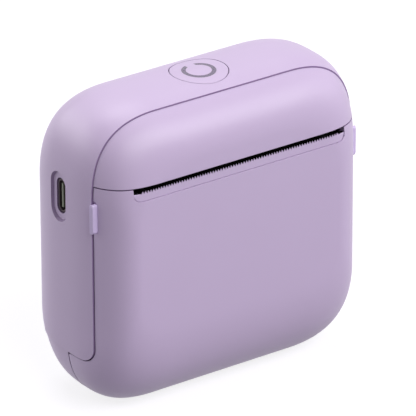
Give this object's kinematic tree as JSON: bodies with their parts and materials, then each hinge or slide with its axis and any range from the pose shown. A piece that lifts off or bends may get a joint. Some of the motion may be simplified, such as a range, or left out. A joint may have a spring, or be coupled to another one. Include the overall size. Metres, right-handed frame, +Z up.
{
  "type": "portable photo printer",
  "caption": "Pocket-size thermal photo printer: rounded body, front paper cover hinged at the bottom, serrated tear bar, push button, paper roll and drive inside.",
  "frame": {"origin": "middle of the footprint, on the surface that the printer stands on", "axes": "+X to the right as seen from the front, +Y to the back, +Z up; the paper cover faces -Y"},
  "size_m": [0.084, 0.0406, 0.0838],
  "materials": {
    "shell_plastic": "fine matte lavender plastic",
    "inner_plastic": "moulded dark plastic",
    "tear_bar_plastic": "fine matte lavender plastic",
    "mark_plastic": "satin translucent light ring",
    "steel": "ground steel",
    "aluminium": "milled aluminium",
    "rubber": "ground silicone rubber",
    "gear_plastic": "natural acetal",
    "ceramic": null,
    "board": "solder-masked board",
    "chip": "moulded chip body",
    "connector": "moulded connector",
    "flex": "polyimide film",
    "cell": "foil pouch",
    "paper": null,
    "card": null,
    "motor": "drawn steel can"
  },
  "bodies": {
    "body": {"wrap_shell": "shell_plastic", "base_shell": "shell_plastic", "front_upper_panel": "shell_plastic", "mechanism_frame": "inner_plastic", "frame_screws": "steel", "paper_bay": "inner_plastic", "base_screws": "steel", "head_spring": "steel", "head_flex": "flex", "gear_axles": "steel", "gear_clip": "steel", "stepper_motor": "motor", "motor_screws": "steel", "main_board": "board", "board_chips": "chip", "board_screws": "steel", "flex_connector": "connector", "usb_socket": "steel", "usb_tongue": "chip", "battery_pack": "cell", "button_board": "board", "button_board_screws": "steel", "tact_switch": "inner_plastic", "paper_sensor": "inner_plastic"},
    "cover": {"paper_cover": "shell_plastic", "cover_liner": "inner_plastic", "tear_bar": "tear_bar_plastic", "opening_tab_left": "shell_plastic", "opening_tab_right": "shell_plastic", "hinge_pins": "steel", "liner_screws": "steel", "platen_bushings": "gear_plastic"},
    "platen": {"platen_shaft": "steel", "platen_roller": "rubber", "platen_gear": "gear_plastic"},
    "print_head": {"head_heat_sink": "aluminium", "head_ceramic": "ceramic", "head_pins": "steel"},
    "motor_rotor": {"motor_shaft": "steel", "motor_pinion": "gear_plastic"},
    "reduction_gear": {"compound_gear": "gear_plastic"},
    "idler": {"idler_gear": "gear_plastic"},
    "paper": {"paper_roll": "paper", "roll_core": "card"},
    "button": {"power_button": "shell_plastic", "button_ring_mark": "mark_plastic"},
    "plunger": {"switch_plunger": "connector"}
  },
  "joints": [
    {"name": "cover_hinge", "type": "hinge", "parent": "body", "child": "cover", "pos_m": [0, -0.0047, 0.0029], "axis": [1, 0, 0], "range_deg": [0, 90]},
    {"name": "platen_spin", "type": "hinge", "parent": "cover", "child": "platen", "pos_m": [0, -0.0134, 0.06], "axis": [1, 0, 0], "continuous": true},
    {"name": "idler_spin", "type": "hinge", "parent": "body", "child": "idler", "pos_m": [0, -0.00582, 0.05894], "axis": [1, 0, 0], "continuous": true},
    {"name": "reduction_spin", "type": "hinge", "parent": "body", "child": "reduction_gear", "pos_m": [0, 0.00053, 0.06006], "axis": [1, 0, 0], "continuous": true},
    {"name": "motor_spin", "type": "hinge", "parent": "body", "child": "motor_rotor", "pos_m": [0, 0.0083, 0.05797], "axis": [1, 0, 0], "continuous": true},
    {"name": "head_pivot", "type": "hinge", "parent": "body", "child": "print_head", "pos_m": [0, -0.0069, 0.0525], "axis": [-1, 0, 0], "range_deg": [0, 2], "stiffness_Nm_per_rad": 0.5, "springref_deg": -2.86},
    {"name": "roll_spin", "type": "hinge", "parent": "body", "child": "paper", "pos_m": [0, -0.00165, 0.0254], "axis": [1, 0, 0], "continuous": true},
    {"name": "button_press", "type": "slide", "parent": "body", "child": "button", "axis": [0, 0, -1], "range_m": [0, 0.0004], "stiffness_N_per_m": 1000, "springref_m": -0.0005},
    {"name": "plunger_press", "type": "slide", "parent": "body", "child": "plunger", "axis": [0, 0, -1], "range_m": [0, 0.0004]}
  ],
  "couplings": [
    {"joint": "idler_spin", "follows": "platen_spin", "ratio": -0.9},
    {"joint": "reduction_spin", "follows": "platen_spin", "ratio": 1.5},
    {"joint": "motor_spin", "follows": "platen_spin", "ratio": -4.5},
    {"joint": "plunger_press", "follows": "button_press", "ratio": 1}
  ]
}
